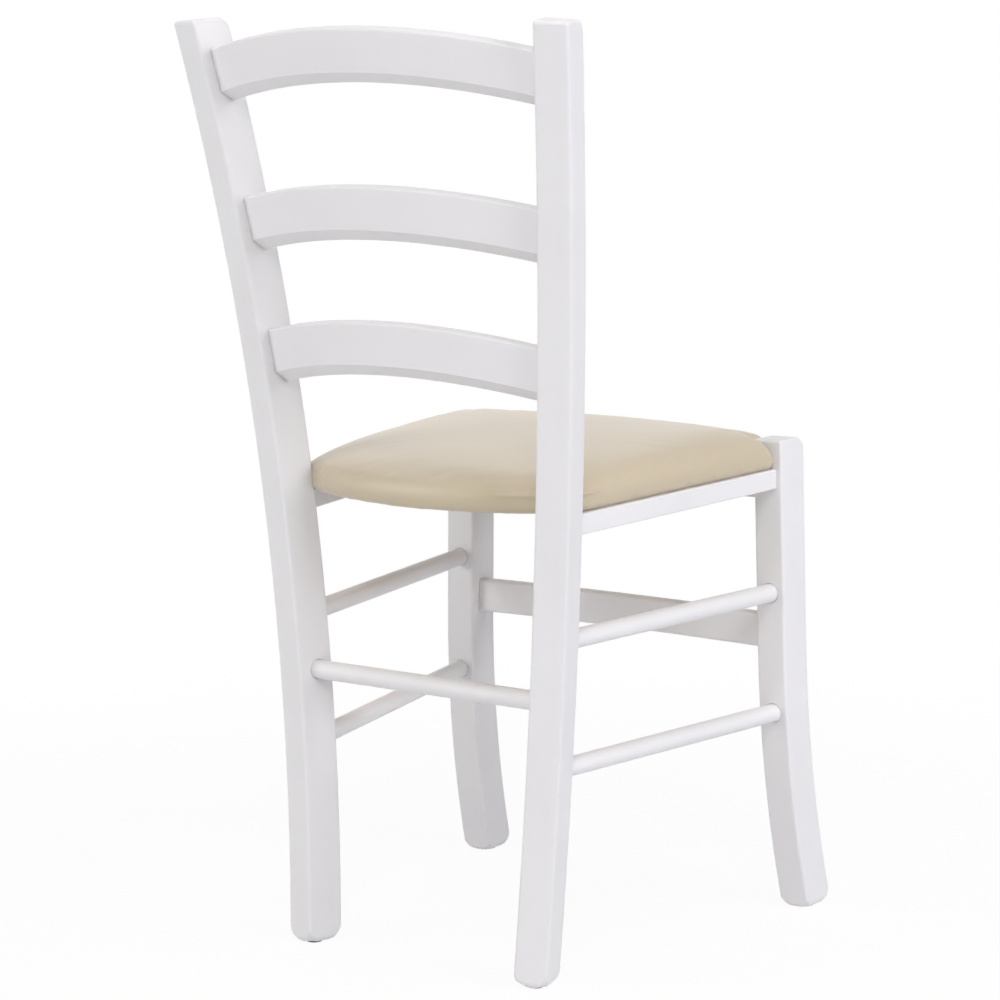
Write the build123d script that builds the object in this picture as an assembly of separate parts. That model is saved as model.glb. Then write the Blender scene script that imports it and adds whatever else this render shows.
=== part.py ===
from build123d import *
import os
from math import asin, cos, degrees, radians, sin, sqrt, tan

# A ladder-back dining chair of lacquered beech with an upholstered seat pad.
# Millimetres and degrees. +Z is up, the sitter faces -Y, and +X is the sitter's left.

# Rear posts: one long arc each, splayed outwards and turned so that the slats meet them squarely
overall_height = 872.0
post_width = 32.6
post_depth = 38.5
post_spacing = 255.2          # between the post centres at the floor
post_turn_angle = 14.8
post_splay_angle = 3.2
post_bend_radius = 2900.0
post_foot_rake_angle = 3.1          # forward lean of the arc where it leaves the floor
post_top_slope_angle = 4.5          # the sawn top rises this much towards the front
post_top_front_round = 14.0
post_top_back_round = 3.4
post_foot_front_round = 12.5
post_foot_back_round = 9.0

# Front legs: straight above, flared forwards in an arc below
leg_top_rise = 38.4           # of the leg tops over the side rails' rear ends
leg_width = 32.0
leg_depth = 41.4
leg_spacing = 383.7           # between the straight leg axes at the floor
leg_setback = 332.2           # rear post centres to front leg axes, at the floor
leg_turn_angle = -2.3
leg_splay_angle = -1.2
leg_lean_angle = 1.3
leg_bend_height = 265.0
leg_bend_radius = 980.0
leg_top_front_round = 12.0
leg_top_back_round = 3.4
leg_foot_front_round = 11.0
leg_foot_back_round = 8.0

# Softened long edges of posts and legs, and the rounded lower sides of their feet
post_edge_round = 3.0
foot_side_round = 8.0
foot_corner_round = 15.0

# Back slats: places of the lower back edge at the posts, and rise of the arch
top_slat_drop = 66.7          # below the post tops
top_slat_arch = 19.3
middle_slat_share = 0.4737    # of the way from the lower slat to the top slat
middle_slat_arch = 16.4
lower_slat_rise = 113.3       # above the side rails' rear ends
lower_slat_arch = 16.8
slat_bow = 29.3
slat_back_height = 39.0
slat_thickness = 13.0
slat_bevel_drop = 11.6
slat_bevel_land = 2.0         # flat left under the front edge
slat_setback = 11.65          # from the post's back face to the slat's back face
slat_top_round = 2.2
slat_tenon_shoulder = 3.0
slat_tenon_length = 14.0

# Seat rails, all with their tops in the sloping seat plane
seat_rear_height = 433.6      # top of the side rails at the rear posts
seat_slope_angle = 2.0
side_rail_height = 19.0
side_rail_width = 20.0
rail_edge_round = 1.6
rail_tenon_diameter = 12.0
rail_tenon_length = 16.0
front_rail_height = 33.0
front_rail_thickness = 18.0
front_rail_setback = 25.85    # from the leg's back face to the middle of the rail
front_rail_tenon_thickness = 8.0
front_rail_tenon_height = 20.0

# Round stretchers
dowel_diameter = 18.0
dowel_socket_depth = 15.0
dowel_end_chamfer = 1.5
upper_dowel_rear_height = 316.8
upper_dowel_front_height = 322.5
lower_dowel_rear_height = 196.8
lower_dowel_front_height = 203.9
rear_dowel_height = 263.5
rear_dowel_setback = 22.35    # from the post's back face

# Flat front stretcher
front_stretcher_height = 34.0
front_stretcher_thickness = 13.0
front_stretcher_low = 265.0   # its lower edge above the floor
front_stretcher_setback = 11.85
front_stretcher_bow = 7.0
front_stretcher_round = 4.0

# Seat pad: plywood board, foam and a stretched cover, lying on the rails
pad_rear_overhang = 29.4      # past the post centres at the floor
pad_front_overhang = 3.15     # past the straight leg axes at the floor
pad_rear_corner = 4.0         # in front of the post faces
pad_rear_bulge = 49.0         # the rear edge curves back between the posts
pad_front_corner = 328.0      # in front of the post faces
pad_front_bulge = 21.0
pad_rear_corner_round = 16.0
pad_front_corner_round = 12.0
pad_corner_softening = 0.6    # the corners grow rounder by this share of the inset
pad_edge_height = 19.0
pad_crown_height = 41.0
pad_roll = 85.0               # how far in from the edge the crown rolls up
pad_drawn_in = 1.5            # the lower edge is drawn in under the pad
pad_crown_steps = 8
pad_clearance = 0.8
cover_thickness = 1.2
cover_turn_under = 34.0
cover_front_turn_under = 58.0
board_thickness = 12.0
board_edge_inset = 5.0

# Staples and screws of the seat pad, nails and glides of the feet
staple_width = 10.0
staple_wire = 1.0
staple_leg = 6.0
staple_inset = 27.0
staple_front_inset = 50.0
staple_spacing = 42.0
screw_length = 25.0
screw_diameter = 4.0
screw_head_diameter = 7.5
screw_head_height = 2.6
screw_counterbore_depth = 5.0
screw_counterbore_diameter = 8.6
screw_pad_inset = 13.0
screw_end_distance = 62.0
glide_diameter = 16.0
glide_thickness = 1.6
glide_edge_chamfer = 0.6
nail_diameter = 2.4
nail_length = 16.0
nail_head_diameter = 6.0
nail_head_height = 0.9

# Fits
joint_gap = 0.3               # between a shoulder and the face it closes on
socket_clearance = 0.1        # round a tenon in its hole
dowel_clearance = 0.4         # round a dowel at the eased mouth of its hole
socket_end_gap = 1.0          # past the end of a tenon or dowel

# Places that follow from these
leg_height = seat_rear_height + leg_top_rise
top_slat_height = overall_height - top_slat_drop
lower_slat_height = seat_rear_height + lower_slat_rise
middle_slat_height = lower_slat_height + middle_slat_share * (top_slat_height - lower_slat_height)
pad_rear_half_width = post_spacing / 2 + pad_rear_overhang
pad_front_half_width = leg_spacing / 2 + pad_front_overhang

sides = {"left": 1, "right": -1}
up = Vector(0, 0, 1)
standing = (Align.CENTER, Align.CENTER, Align.MIN)
hanging = (Align.CENTER, Align.CENTER, Align.MAX)


def rod(start, end, diameter):
    """Round bar between two points."""
    along = end - start
    bar = Cylinder(diameter / 2, along.length, align=standing)
    return Plane(origin=start, z_dir=along) * bar


def past(start, end, distance):
    """Point that far beyond the end of the line from start to end."""
    return end + (end - start).normalized() * distance


class Upright:
    """Frame of a post or leg: a profile plane that is turned about the vertical and splayed."""

    def __init__(self, side, foot_x, foot_y, turn, splay):
        outward = Vector(side * cos(radians(turn)), -sin(radians(turn)), 0)
        self.backward = Vector(side * sin(radians(turn)), cos(radians(turn)), 0)
        self.outward = outward * cos(radians(splay)) - up * sin(radians(splay))
        self.rising = outward * sin(radians(splay)) + up * cos(radians(splay))
        self.foot = Vector(foot_x * side, foot_y, 0)
        self.plane = Plane(origin=self.foot, x_dir=self.backward, z_dir=self.backward.cross(self.rising))

    def point(self, back, height, out=0.0):
        """Point at a height above the floor, that far back in the profile and out from its plane."""
        along = (height - out * self.outward.Z) / self.rising.Z
        return self.foot + self.backward * back + self.rising * along + self.outward * out


class RearPost(Upright):
    """A back post: two concentric arcs, with a sawn top whose front corner is rounded."""

    def __init__(self, side):
        super().__init__(side, post_spacing / 2, 0.0, post_turn_angle, post_splay_angle)
        rake = radians(post_foot_rake_angle)
        self.arc_back = post_bend_radius * cos(rake)
        self.arc_rise = post_bend_radius * sin(rake)

    def on_arc(self, from_centre, along):
        """Place along the profile of an arc that far behind the centre line."""
        radius = post_bend_radius - from_centre
        return self.arc_back - sqrt(radius ** 2 - (along - self.arc_rise) ** 2)

    def back_at(self, height, from_back=0.0):
        """Profile place of the back face, or of a line that far in front of it."""
        return self.on_arc(post_depth / 2 - from_back, height / self.rising.Z)

    def lean_at(self, height):
        """Backward lean of the post at a height, in degrees."""
        return degrees(asin((height / self.rising.Z - self.arc_rise) / post_bend_radius))

    def solid(self, grow=0.0):
        """The bare post, or with grow an unrounded envelope that much larger all round."""
        half = post_depth / 2 + grow
        slope = radians(post_top_slope_angle)
        turning = radians(90 - self.lean_at(overall_height) + post_top_slope_angle)
        corner_drop = post_top_front_round * tan(turning / 2) * sin(slope)
        corner_drop -= post_top_front_round * (1 - cos(slope))
        tilt_lift = (post_width / 2 - post_edge_round) * -self.outward.Z
        front_top = (overall_height + corner_drop - tilt_lift) / self.rising.Z + grow
        back_top = front_top - post_depth * tan(slope)
        sole = sole_level(self, post_width)
        middle = overall_height / 2
        back_low = (self.on_arc(half, sole), sole)
        back_mid = (self.on_arc(half, middle), middle)
        back_high = (self.on_arc(half, back_top), back_top)
        front_low = (self.on_arc(-half, sole), sole)
        front_mid = (self.on_arc(-half, middle), middle)
        front_high = (self.on_arc(-half, front_top), front_top)
        outline = [
            ThreePointArc(back_low, back_mid, back_high),
            Line(back_high, front_high),
            ThreePointArc(front_high, front_mid, front_low),
            Line(front_low, back_low),
        ]
        profile = make_face(outline)
        if grow == 0.0:
            corners = profile.vertices().sort_by(Axis.Y)[-2:].sort_by(Axis.X)
            profile = fillet(corners[0], post_top_front_round)
            corners = profile.vertices().sort_by(Axis.X)
            profile = fillet(corners[-1], post_top_back_round)
            profile = round_foot(profile, post_foot_front_round, post_foot_back_round)
        return finish_upright(self, profile, post_width, post_depth, grow)


class FrontLeg(Upright):
    """A front leg: a straight run, then an arc that carries the foot forwards."""

    def __init__(self, side):
        super().__init__(side, leg_spacing / 2, -leg_setback, leg_turn_angle, leg_splay_angle)
        lean = radians(leg_lean_angle)
        self.bend = (leg_bend_height - leg_height) * tan(lean)
        self.arc_back = self.bend - leg_bend_radius * cos(lean)
        self.arc_rise = leg_bend_height + leg_bend_radius * sin(lean)

    def back_at(self, height, from_back=0.0):
        """Profile place of the back face, or of a line that far in front of it."""
        along = height / self.rising.Z
        offset = leg_depth / 2 - from_back
        if along > leg_bend_height:
            return self.bend + (along - leg_bend_height) * tan(radians(leg_lean_angle)) + offset
        return self.on_arc(offset, along)

    def on_arc(self, from_centre, along):
        radius = leg_bend_radius + from_centre
        return self.arc_back + sqrt(radius ** 2 - (along - self.arc_rise) ** 2)

    def solid(self, grow=0.0):
        """The bare leg, or with grow an unrounded envelope that much larger all round."""
        lean = radians(leg_lean_angle)
        half = leg_depth / 2 + grow
        top = leg_height / self.rising.Z + grow
        sole = sole_level(self, leg_width)
        middle = leg_bend_height / 2
        straight = {}
        for edge in (half, -half):
            bend = (self.bend + edge * cos(lean), leg_bend_height - edge * sin(lean))
            head = (bend[0] + (top - bend[1]) * tan(lean), top)
            low = (self.on_arc(edge, sole), sole)
            mid = (self.on_arc(edge, middle), middle)
            straight[edge] = (low, mid, bend, head)
        low_b, mid_b, bend_b, head_b = straight[half]
        low_f, mid_f, bend_f, head_f = straight[-half]
        outline = [
            ThreePointArc(low_b, mid_b, bend_b),
            Line(bend_b, head_b),
            Line(head_b, head_f),
            Line(head_f, bend_f),
            ThreePointArc(bend_f, mid_f, low_f),
            Line(low_f, low_b),
        ]
        profile = make_face(outline)
        if grow == 0.0:
            corners = profile.vertices().sort_by(Axis.Y)[-2:].sort_by(Axis.X)
            profile = fillet(corners[0], leg_top_front_round)
            corners = profile.vertices().sort_by(Axis.X)
            profile = fillet(corners[-1], leg_top_back_round)
            profile = round_foot(profile, leg_foot_front_round, leg_foot_back_round)
        return finish_upright(self, profile, leg_width, leg_depth, grow)


def sole_level(upright, width):
    """Place along the profile that is low enough for a level sole right across the foot."""
    return (glide_thickness - width / 2 * abs(upright.outward.Z)) / upright.rising.Z


def round_foot(profile, front_round, back_round):
    """Round the two lower corners of a profile, front first."""
    corners = profile.vertices().sort_by(Axis.Y)[:2].sort_by(Axis.X)
    profile = fillet(corners[0], front_round)
    corners = profile.vertices().sort_by(Axis.Y)[:2].sort_by(Axis.X)
    return fillet(corners[1], back_round)


def foot_waste(centre, outermost, level, radius, eased=0.0):
    """What is taken off to round a foot over in one direction, below its outermost point."""
    top = glide_thickness + radius
    reach = (outermost - centre).dot(level) - eased
    inner = reach - radius
    beyond = reach + radius
    slant = radius * sin(radians(45))
    outline = [
        ThreePointArc((reach, top), (inner + slant, top - slant), (inner, glide_thickness)),
        Polyline((inner, glide_thickness), (inner, -top), (beyond, -top), (beyond, top), (reach, top)),
    ]
    end_on = Plane(origin=centre, x_dir=level, z_dir=level.cross(up))
    return extrude(end_on * make_face(outline), amount=leg_depth, both=True)


def round_sides(upright, solid, width, depth):
    """Round the lower sides of a foot, and its corners with a larger radius."""
    centre = upright.point((upright.back_at(0.0) + upright.back_at(0.0, depth)) / 2, 0.0)
    outward = Vector(upright.outward.X, upright.outward.Y, 0).normalized()
    side_top = glide_thickness + foot_side_round
    corner_top = glide_thickness + foot_corner_round
    corner_ease = (sqrt(2) - 1) * post_edge_round
    ends = {0.0: upright.backward, depth: upright.backward * -1}
    for side in sides.values():
        face = upright.point(upright.back_at(side_top, depth / 2), side_top, side * width / 2)
        solid -= foot_waste(centre, face, outward * side, foot_side_round)
        for from_back, facing in ends.items():
            corner = upright.point(upright.back_at(corner_top, from_back), corner_top, side * width / 2)
            diagonal = (outward * side + facing).normalized()
            solid -= foot_waste(centre, corner, diagonal, foot_corner_round, corner_ease)
    return solid


def finish_upright(upright, profile, width, depth, grow):
    """Give a profile its width, soften its long edges, and saw and round its foot."""
    solid = extrude(upright.plane * profile, amount=width / 2 + grow, both=True)
    if grow > 0.0:
        return solid
    normal = upright.plane.z_dir
    long_edges = [edge for edge in solid.edges() if abs((edge % 0.5).dot(normal)) < 0.5]
    solid = fillet(long_edges, post_edge_round)
    solid = split(solid, bisect_by=Plane(origin=(0, 0, glide_thickness), z_dir=(0, 0, 1)), keep=Keep.TOP)
    return round_sides(upright, solid, width, depth)


def bowed_bar(end, bow, section, reach):
    """Sweep a section, drawn at mid span, round the arc through an end point and its mirror image.

    The arc's middle lies off the chord by the vector bow, and the bar runs past the ends by reach."""
    sag = bow.length
    rise = bow.normalized()
    radius = (end.X ** 2 + sag ** 2) / (2 * sag)
    middle = Vector(0, end.Y, end.Z) + bow
    axis = Axis(middle - rise * radius, Vector(1, 0, 0).cross(rise))
    half_angle = degrees(asin((end.X + reach) / radius))
    start = section(middle).rotate(axis, -half_angle)
    return revolve(start, axis=axis, revolution_arc=2 * half_angle)


def slat_section(lean):
    """Slat section at mid span: flat back and top, with the lower edge bevelled up to the back."""
    lean = radians(lean)
    forward = Vector(0, -cos(lean), sin(lean))
    land = slat_thickness - slat_bevel_land

    def draw(middle):
        corners = [
            (0, 0),
            (0, slat_back_height),
            (slat_thickness, slat_back_height),
            (slat_thickness, -slat_bevel_drop),
            (land, -slat_bevel_drop),
        ]
        face = make_face(Polyline(*corners, close=True))
        tops = face.vertices().sort_by(Axis.Y)[-2:]
        face = fillet(tops, slat_top_round)
        return Plane(origin=middle, x_dir=forward, z_dir=(-1, 0, 0)) * face

    return draw


def bar_section(lean, thickness, height, inset, base=0.0, round_edge=0.0):
    """Rectangular section standing on the middle point, inset all round."""
    lean = radians(lean)
    forward = Vector(0, -cos(lean), sin(lean))

    def draw(middle):
        face = Rectangle(thickness - 2 * inset, height - 2 * inset)
        if round_edge > 0:
            face = fillet(face.vertices(), round_edge)
        face = Pos(thickness / 2, base + height / 2) * face
        return Plane(origin=middle, x_dir=forward, z_dir=(-1, 0, 0)) * face

    return draw


# Rear posts and front legs, before their sockets are cut
posts = {name: RearPost(side) for name, side in sides.items()}
legs = {name: FrontLeg(side) for name, side in sides.items()}
post_solids = {name: posts[name].solid() for name in sides}
leg_solids = {name: legs[name].solid() for name in sides}
post_faces = {name: posts[name].solid(joint_gap) for name in sides}
leg_faces = {name: legs[name].solid(joint_gap) for name in sides}
parts = {}

# Back slats: full section up to the posts, then a tenon into each post
slats = {
    "top_slat": (top_slat_height, top_slat_arch),
    "middle_slat": (middle_slat_height, middle_slat_arch),
    "lower_slat": (lower_slat_height, lower_slat_arch),
}
for name, (height, arch) in slats.items():
    post = posts["left"]
    lean = post.lean_at(height + slat_back_height / 2)
    end = post.point(post.back_at(height, slat_setback), height, -post_width / 2)
    bow = Vector(0, slat_bow, arch)
    body = bowed_bar(end, bow, slat_section(lean), slat_tenon_length / 2)
    tenon_form = bar_section(lean, slat_thickness, slat_back_height, slat_tenon_shoulder)
    socket_form = bar_section(lean, slat_thickness, slat_back_height, slat_tenon_shoulder - socket_clearance)
    tenon = bowed_bar(end, bow, tenon_form, slat_tenon_length)
    socket = bowed_bar(end, bow, socket_form, slat_tenon_length + socket_end_gap)
    for side in sides:
        body -= post_faces[side]
        post_solids[side] -= socket
    parts[name] = body + tenon

# Side rails: their tops lie in the seat plane, round tenons at both ends
rail_mid_height = seat_rear_height - side_rail_height / 2
left_post = posts["left"]
left_leg = legs["left"]
rail_rear = left_post.point(left_post.back_at(rail_mid_height, post_depth), rail_mid_height)
seat_plane = Plane(
    origin=(0, rail_rear.Y, seat_rear_height),
    x_dir=(1, 0, 0),
    z_dir=(0, sin(radians(seat_slope_angle)), cos(radians(seat_slope_angle))),
)
leg_face_y = left_leg.point(left_leg.back_at(seat_rear_height), seat_rear_height).Y
seat_front_height = seat_rear_height + (rail_rear.Y - leg_face_y) * tan(radians(seat_slope_angle))
rail_front_height = seat_front_height - side_rail_height / 2
rail_front = left_leg.point(left_leg.back_at(rail_front_height), rail_front_height)
rear_end = seat_plane.to_local_coords(rail_rear)
front_end = seat_plane.to_local_coords(rail_front)
rail_start = Vector(rear_end.X, rear_end.Y, -side_rail_height / 2)
rail_stop = Vector(front_end.X, front_end.Y, -side_rail_height / 2)
rail_length = (rail_stop - rail_start).length
rail_along = (rail_stop - rail_start).normalized()
rail_outward = up.cross(rail_along)

for name, side in sides.items():
    start = Vector(rail_start.X * side, rail_start.Y, rail_start.Z)
    stop = Vector(rail_stop.X * side, rail_stop.Y, rail_stop.Z)
    middle = (start + stop) * 0.5
    along = (stop - start).normalized()
    rail = Box(rail_length + 2 * rail_tenon_length, side_rail_width, side_rail_height)
    rail = fillet(rail.edges().filter_by(Axis.X), rail_edge_round)
    rail = seat_plane.location * (Plane(origin=middle, x_dir=along, z_dir=(0, 0, 1)) * rail)
    rail = rail - post_faces[name] - leg_faces[name]
    rail = rail.solids().sort_by(SortBy.VOLUME)[-1]
    tenon_start = past(stop, start, rail_tenon_length)
    tenon_stop = past(start, stop, rail_tenon_length)
    tenon = seat_plane.location * rod(tenon_start, tenon_stop, rail_tenon_diameter)
    hole_start = past(stop, start, rail_tenon_length + socket_end_gap)
    hole_stop = past(start, stop, rail_tenon_length + socket_end_gap)
    hole = seat_plane.location * rod(hole_start, hole_stop, rail_tenon_diameter + 2 * socket_clearance)
    post_solids[name] -= hole
    leg_solids[name] -= hole
    parts[f"side_rail_{name}"] = rail + tenon

# Front rail: deeper than the side rails, tenoned into the inner faces of the legs
front_rail_y = front_end.Y - front_rail_setback
inner_face = left_leg.point(0, seat_front_height, -leg_width / 2).X
front_rail_reach = 2 * (inner_face + rail_tenon_length)
front_rail = Box(front_rail_reach - rail_tenon_length, front_rail_thickness, front_rail_height)
front_rail = fillet(front_rail.edges().filter_by(Axis.X), rail_edge_round)
front_rail_place = seat_plane.location * Pos(0, front_rail_y, -front_rail_height / 2)
front_rail = front_rail_place * front_rail
front_tenon = front_rail_place * Box(front_rail_reach, front_rail_tenon_thickness, front_rail_tenon_height)
front_hole = front_rail_place * Box(
    front_rail_reach + 2 * socket_end_gap,
    front_rail_tenon_thickness + 2 * socket_clearance,
    front_rail_tenon_height + 2 * socket_clearance,
)
for name in sides:
    front_rail -= leg_faces[name]
    leg_solids[name] -= front_hole
parts["front_rail"] = front_rail.solids().sort_by(SortBy.VOLUME)[-1] + front_tenon

# Round stretchers, each in blind sockets
side_dowels = {
    "upper": (upper_dowel_rear_height, upper_dowel_front_height),
    "lower": (lower_dowel_rear_height, lower_dowel_front_height),
}


def dowel(start, end, hosts):
    """Chamfered round stretcher between two faces, and its sockets cut in the hosts."""
    rear = past(end, start, dowel_socket_depth)
    front = past(start, end, dowel_socket_depth)
    bar = rod(rear, front, dowel_diameter)
    bar = chamfer(bar.edges().filter_by(GeomType.CIRCLE), dowel_end_chamfer)
    hole_rear = past(end, start, dowel_socket_depth + socket_end_gap)
    hole_front = past(start, end, dowel_socket_depth + socket_end_gap)
    hole = rod(hole_rear, hole_front, dowel_diameter + 2 * dowel_clearance)
    for group, name in hosts:
        group[name] -= hole
    return bar


for level, (rear_height, front_height) in side_dowels.items():
    for name in sides:
        post = posts[name]
        leg = legs[name]
        rear = post.point(post.back_at(rear_height, post_depth), rear_height)
        front = leg.point(leg.back_at(front_height), front_height)
        hosts = [(post_solids, name), (leg_solids, name)]
        parts[f"side_dowel_{level}_{name}"] = dowel(rear, front, hosts)

rear_ends = []
for name in sides:
    post = posts[name]
    back = post.back_at(rear_dowel_height, rear_dowel_setback)
    rear_ends.append(post.point(back, rear_dowel_height, -post_width / 2))
parts["rear_dowel"] = dowel(*rear_ends, [(post_solids, name) for name in sides])

# Flat front stretcher, bowed forwards, tenoned into the legs
stretcher_mid_height = front_stretcher_low + front_stretcher_height / 2
stretcher_back = left_leg.back_at(stretcher_mid_height, front_stretcher_setback)
stretcher_mid = left_leg.point(stretcher_back, stretcher_mid_height, -leg_width / 2)
end = Vector(stretcher_mid.X, stretcher_mid.Y, front_stretcher_low)
bow = Vector(0, -front_stretcher_bow, 0)
full = bar_section(0, front_stretcher_thickness, front_stretcher_height, 0, 0, front_stretcher_round)
slim = bar_section(0, front_stretcher_thickness, front_stretcher_height, slat_tenon_shoulder)
loose = bar_section(
    0, front_stretcher_thickness, front_stretcher_height, slat_tenon_shoulder - socket_clearance
)
stretcher = bowed_bar(end, bow, full, slat_tenon_length / 2)
stretcher_socket = bowed_bar(end, bow, loose, slat_tenon_length + socket_end_gap)
for name in sides:
    stretcher -= leg_faces[name]
    leg_solids[name] -= stretcher_socket
stretcher_tenon = bowed_bar(end, bow, slim, slat_tenon_length)
parts["front_stretcher"] = stretcher + stretcher_tenon


# Seat pad, drawn in the seat plane and then set on the rails
def meet(point, along, centre_y, radius, facing):
    """Where a line meets a circle centred on the chair's middle line, on the side that facing gives."""
    away = point - Vector(0, centre_y)
    mid = away.dot(along)
    half_chord = sqrt(mid ** 2 - away.length ** 2 + radius ** 2)
    hits = [point + along * (-mid - half_chord), point + along * (-mid + half_chord)]
    return [hit for hit in hits if (hit.Y - centre_y) * facing > 0][0]


def arc_radius(half_width, bulge):
    """Radius of an arc from its half chord and its rise."""
    return (half_width ** 2 + bulge ** 2) / (2 * bulge)


def pad_outline(inset, front_inset=None):
    """Outline of the pad drawn in by an inset: curved rear and front edges and straight sides."""
    front_inset = inset if front_inset is None else front_inset
    rear_corner = Vector(pad_rear_half_width, -pad_rear_corner)
    front_corner = Vector(pad_front_half_width, -pad_front_corner)
    rear_arc = arc_radius(pad_rear_half_width, pad_rear_bulge)
    front_arc = arc_radius(pad_front_half_width, pad_front_bulge)
    rear_centre = pad_rear_bulge - pad_rear_corner - rear_arc
    front_centre = front_arc - pad_front_corner - pad_front_bulge
    along = (front_corner - rear_corner).normalized()
    edge = rear_corner + Vector(along.Y, -along.X) * inset
    rear = meet(edge, along, rear_centre, rear_arc - inset, 1)
    front = meet(edge, along, front_centre, front_arc - front_inset, -1)
    rear_mid = rear_centre + rear_arc - inset
    front_mid = front_centre - front_arc + front_inset
    edges = [
        ThreePointArc((rear.X, rear.Y), (0, rear_mid), (-rear.X, rear.Y)),
        Line((-rear.X, rear.Y), (-front.X, front.Y)),
        ThreePointArc((-front.X, front.Y), (0, front_mid), (front.X, front.Y)),
        Line((front.X, front.Y), (rear.X, rear.Y)),
    ]
    softening = pad_corner_softening * inset
    face = make_face(edges)
    rear_corners = face.vertices().sort_by(Axis.Y)[-2:]
    face = fillet(rear_corners, pad_rear_corner_round + softening)
    front_corners = face.vertices().sort_by(Axis.Y)[:2]
    return fillet(front_corners, pad_front_corner_round + softening)


def crowned_pad(skin):
    """Outer form of the pad, or what lies inside a skin of that thickness."""
    levels = [(skin, pad_drawn_in), (pad_edge_height, 0.0)]
    rise = pad_crown_height - pad_edge_height - skin
    for step in range(1, pad_crown_steps + 1):
        angle = radians(90 * step / pad_crown_steps)
        levels.append((pad_edge_height + rise * sin(angle), pad_roll * (1 - cos(angle))))
    outlines = [Pos(0, 0, level) * pad_outline(inset + skin) for level, inset in levels]
    return loft(outlines, ruled=True)


def clear_of_frame(solid, gap):
    """Notch a pad solid round the rear posts and the tops of the front legs."""
    for name in sides:
        solid -= posts[name].solid(gap)
        solid -= legs[name].solid(gap)
    return solid.solids().sort_by(SortBy.VOLUME)[-1]


pad_outer = clear_of_frame(seat_plane.location * crowned_pad(0.0), pad_clearance)
pad_inner = seat_plane.location * crowned_pad(cover_thickness)
pad_inner = clear_of_frame(pad_inner, pad_clearance + cover_thickness)
opening = extrude(pad_outline(cover_turn_under, cover_front_turn_under), amount=cover_thickness, both=True)
seat_cover = pad_outer - pad_inner - seat_plane.location * opening

board_blank = extrude(pad_outline(board_edge_inset), amount=board_thickness)
board_blank = seat_plane.location * Pos(0, 0, cover_thickness) * board_blank
seat_board = clear_of_frame(board_blank, pad_clearance + board_edge_inset)
seat_foam = pad_inner - seat_board

# Screws up through the side rails into the board
screw_seat = screw_counterbore_depth - side_rail_height
screw_outward = side_rail_width / 2 - screw_pad_inset
screw_form = Cylinder(screw_diameter / 2, screw_length, align=standing)
screw_form += Cylinder(screw_head_diameter / 2, screw_head_height, align=hanging)
hole_radius = screw_diameter / 2 + socket_clearance
hole_form = Cylinder(hole_radius, screw_length + socket_end_gap / 2, align=standing)
bore_form = Cylinder(screw_counterbore_diameter / 2, screw_counterbore_depth, align=hanging)
screws = []
fastener_holes = []
for name, side in sides.items():
    for distance in (screw_end_distance, rail_length - screw_end_distance):
        place = rail_start + rail_along * distance + rail_outward * screw_outward
        spot = seat_plane.location * Pos(place.X * side, place.Y, screw_seat)
        screws.append(spot * screw_form)
        fastener_holes.append(spot * hole_form)
        parts[f"side_rail_{name}"] -= spot * (hole_form + bore_form)

# Staples along the turned-under edge of the cover
staple_line = pad_outline(staple_inset, staple_front_inset).face().outer_wire()
staple_count = int(staple_line.length / staple_spacing)
staples = []
staple_crown = Pos(0, 0, -staple_wire / 2) * Box(staple_width, staple_wire, staple_wire)
prong = Box(staple_wire, staple_wire, staple_leg, align=standing)
prong_offset = (staple_width - staple_wire) / 2
prongs = Pos(-prong_offset, 0, 0) * prong + Pos(prong_offset, 0, 0) * prong
for number in range(staple_count):
    share = number / staple_count
    spot = staple_line @ share
    along = staple_line % share
    place = seat_plane.location * Plane(origin=spot, x_dir=along, z_dir=(0, 0, 1)).location
    staples.append(place * (staple_crown + prongs))
    fastener_holes.append(place * prongs)
seat_cover -= fastener_holes
seat_board -= fastener_holes

parts["seat_board"] = seat_board
parts["seat_foam"] = seat_foam
parts["seat_cover"] = seat_cover
parts["seat_screws"] = Compound(screws)
parts["cover_staples"] = Compound(staples)

# Glides under the feet, each held by a nail
nails = []
uprights = {
    "rear": (posts, post_solids, post_depth, post_foot_front_round, post_foot_back_round),
    "front": (legs, leg_solids, leg_depth, leg_foot_front_round, leg_foot_back_round),
}
for row, (frames, solids, depth, front_round, back_round) in uprights.items():
    for name in sides:
        frame = frames[name]
        flat_back = frame.back_at(0.0) - back_round
        flat_front = frame.back_at(0.0, depth) + front_round
        spot = frame.foot + frame.backward * ((flat_back + flat_front) / 2)
        glide = Cylinder(glide_diameter / 2, glide_thickness, align=standing)
        glide = chamfer(glide.edges().sort_by(Axis.Z)[0], glide_edge_chamfer)
        shank = Cylinder(nail_diameter / 2, nail_length, align=standing)
        head = Cylinder(nail_head_diameter / 2, nail_head_height, align=standing)
        nail = Pos(0, 0, nail_head_height) * (shank + Pos(0, 0, -nail_head_height / 2) * head)
        place = Pos(spot.X, spot.Y, 0)
        parts[f"foot_glide_{row}_{name}"] = place * (glide - nail)
        solids[name] -= place * nail
        nails.append(place * nail)
parts["glide_nails"] = Compound(nails)

for name in sides:
    parts[f"rear_post_{name}"] = post_solids[name]
    parts[f"front_leg_{name}"] = leg_solids[name]

# Set the middle of the chair's footprint on the origin and write each piece
boxes = [part.bounding_box() for part in parts.values()]
middle_y = (min(box.min.Y for box in boxes) + max(box.max.Y for box in boxes)) / 2
os.makedirs("parts", exist_ok=True)
for name, part in parts.items():
    export_step(part.moved(Location((0, -middle_y, 0))), f"parts/{name}.step")
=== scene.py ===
import math

import bmesh
import bpy
from mathutils import Matrix, Vector


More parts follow.
